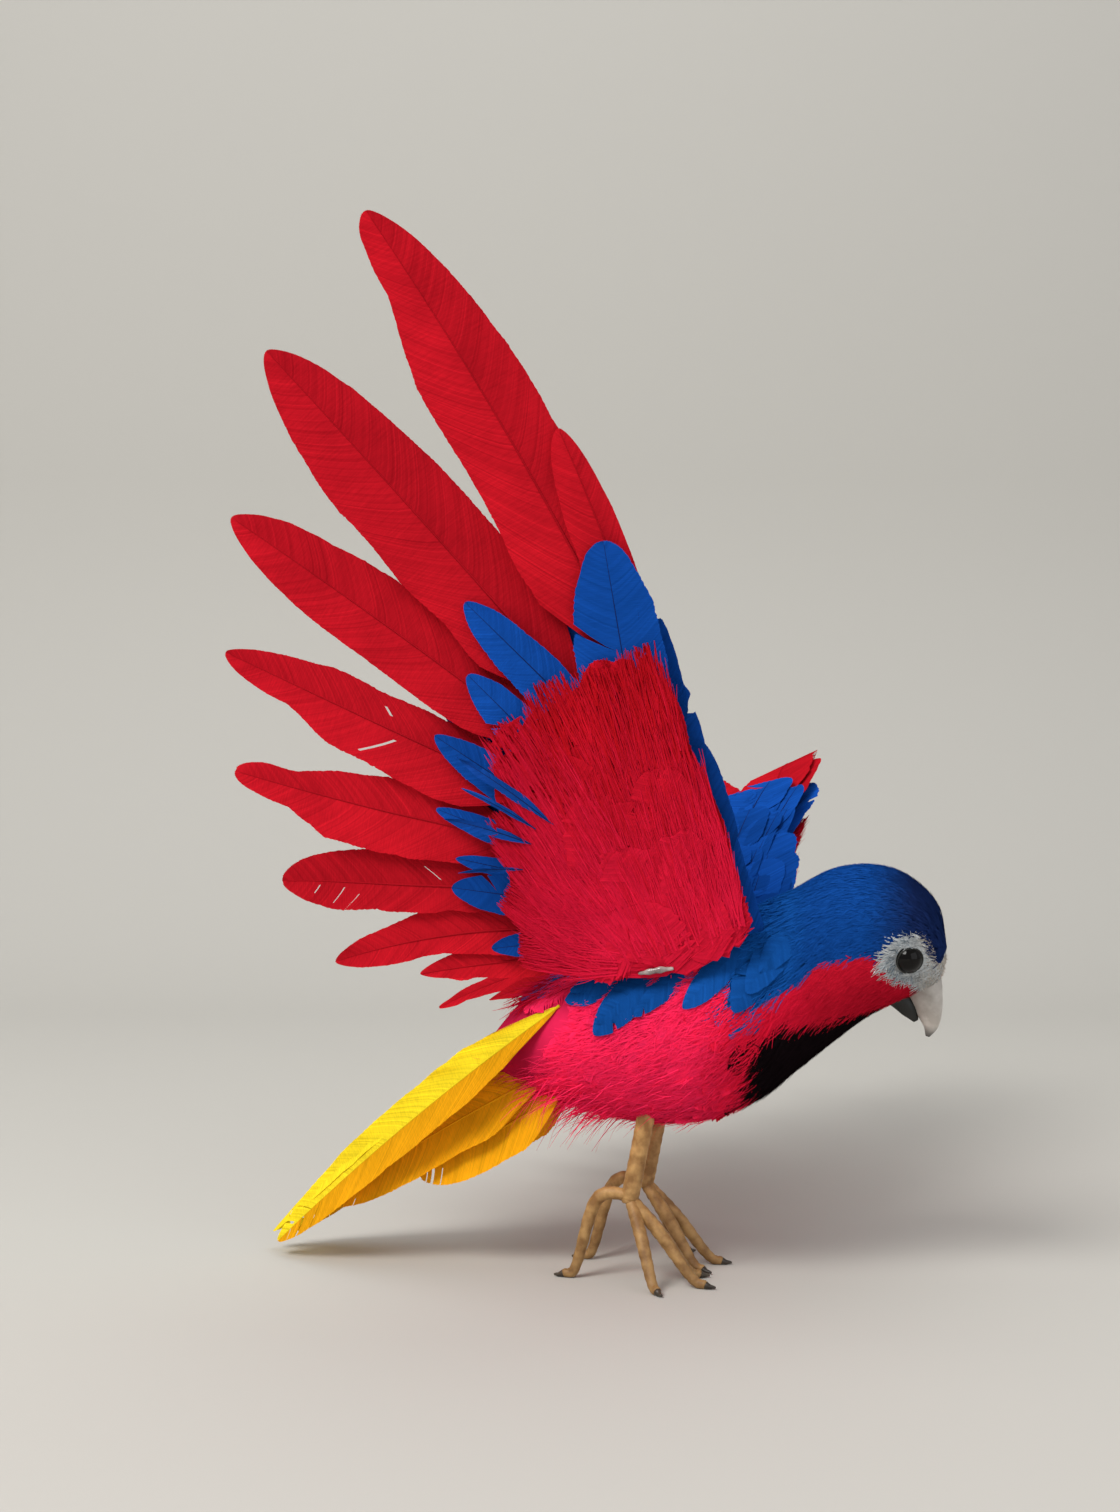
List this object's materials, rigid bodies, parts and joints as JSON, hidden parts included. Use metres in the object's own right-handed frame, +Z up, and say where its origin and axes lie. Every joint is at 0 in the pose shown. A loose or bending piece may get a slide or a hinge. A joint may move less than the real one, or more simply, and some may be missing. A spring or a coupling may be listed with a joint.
{
  "type": "artificial feathered parrot",
  "caption": "Decorative parrot covered in dyed red, blue and yellow feathers, one wing raised and one spread, standing on bent wire feet.",
  "frame": {"origin": "on the surface that the bird stands on, under the middle of its outline", "axes": "+X is the way the bird faces, +Y its left, +Z up"},
  "size_m": [0.1404, 0.2184, 0.2006],
  "materials": {
    "body_feathers": "soft dyed down over foam",
    "red_feathers": "dyed feather",
    "blue_feathers": "dyed feather",
    "yellow_feathers": "dyed feather",
    "bill": "satin, whitish grey",
    "lower_bill": "satin, near black",
    "eye": "gloss bead",
    "leg": "matt olive tan over wire"
  },
  "bodies": {
    "root": {"body": "body_feathers", "upper_bill": "bill", "lower_bill": "lower_bill", "right_eye": "eye", "right_leg": "leg", "right_mantle": "blue_feathers", "left_eye": "eye", "left_leg": "leg", "left_mantle": "blue_feathers", "right_primary_1": "red_feathers", "right_primary_2": "red_feathers", "right_primary_3": "red_feathers", "right_primary_4": "red_feathers", "right_primary_5": "red_feathers", "right_primary_6": "red_feathers", "right_primary_7": "red_feathers", "right_primary_8": "red_feathers", "right_primary_9": "red_feathers", "right_under_coverts": "blue_feathers", "right_wing_lining": "red_feathers", "right_upper_coverts": "blue_feathers", "left_primary_1": "red_feathers", "left_primary_2": "red_feathers", "left_primary_3": "red_feathers", "left_primary_4": "red_feathers", "left_primary_5": "red_feathers", "left_primary_6": "red_feathers", "left_primary_7": "red_feathers", "left_primary_8": "red_feathers", "left_primary_9": "red_feathers", "left_under_coverts": "blue_feathers", "left_wing_lining": "red_feathers", "left_upper_coverts": "blue_feathers", "tail_feather_top": "yellow_feathers", "right_tail_feather_upper": "yellow_feathers", "left_tail_feather_upper": "yellow_feathers", "right_tail_feather_middle": "yellow_feathers", "left_tail_feather_middle": "yellow_feathers", "right_tail_feather_lower": "yellow_feathers", "left_tail_feather_lower": "yellow_feathers"}
  },
  "joints": []
}
